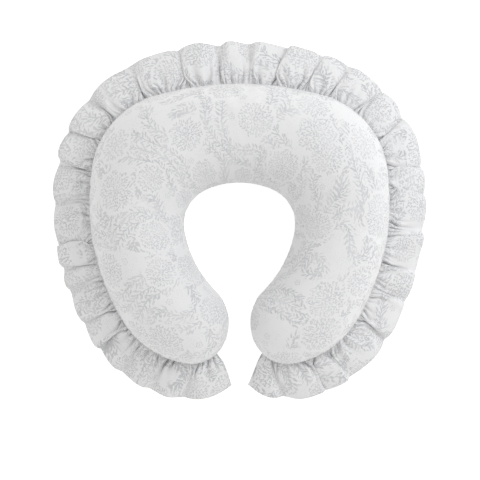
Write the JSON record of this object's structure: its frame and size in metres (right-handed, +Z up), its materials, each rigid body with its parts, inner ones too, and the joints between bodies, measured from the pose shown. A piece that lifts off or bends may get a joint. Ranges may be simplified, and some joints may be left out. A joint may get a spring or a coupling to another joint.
{
  "type": "nursing pillow",
  "caption": "Crescent cushion that wraps round the waist, in a zipped printed cover with a gathered ruffle round its outer seam.",
  "frame": {"origin": "middle of the underside of the overall box, on the surface the pillow lies on", "axes": "+X to the right lobe, +Y to the closed crest, +Z up; the opening between the lobes faces -Y"},
  "size_m": [0.6344, 0.6092, 0.1489],
  "materials": {
    "polyester_fibre": "loose white polyester fibre",
    "casing_cloth": "plain white polycotton",
    "printed_cotton": "pale cool grey cotton with a tone-on-tone floral print",
    "zip_tape": "woven white tape",
    "zip_coil": "white nylon coil",
    "white_lacquer": "white lacquered zinc",
    "label_tape": "blank white satin label"
  },
  "bodies": {
    "pillow": {"fibre_fill": "polyester_fibre", "insert_casing_top": "casing_cloth", "insert_casing_bottom": "casing_cloth", "cover_top_panel": "printed_cotton", "cover_bottom_panel": "printed_cotton", "ruffle": "printed_cotton", "zip_tape_upper": "zip_tape", "zip_tape_lower": "zip_tape", "zip_coil_upper": "zip_coil", "zip_coil_lower": "zip_coil", "zip_top_stop_upper": "white_lacquer", "zip_top_stop_lower": "white_lacquer", "zip_bottom_stop": "white_lacquer", "care_label": "label_tape"},
    "zip_slider": {"zip_slider": "white_lacquer"},
    "zip_pull": {"zip_pull": "white_lacquer"}
  },
  "joints": [
    {"name": "zip_slider_travel", "type": "hinge", "parent": "pillow", "child": "zip_slider", "pos_m": [0, -0.26445, 0.04912], "axis": [0, 0, 1], "range_deg": [0, 25.8]},
    {"name": "zip_pull_swing", "type": "hinge", "parent": "zip_slider", "child": "zip_pull", "pos_m": [0.11209, 0.22374, 0.04804], "axis": [-0.0507, -0.2208, -0.974], "range_deg": [0, 175]}
  ]
}
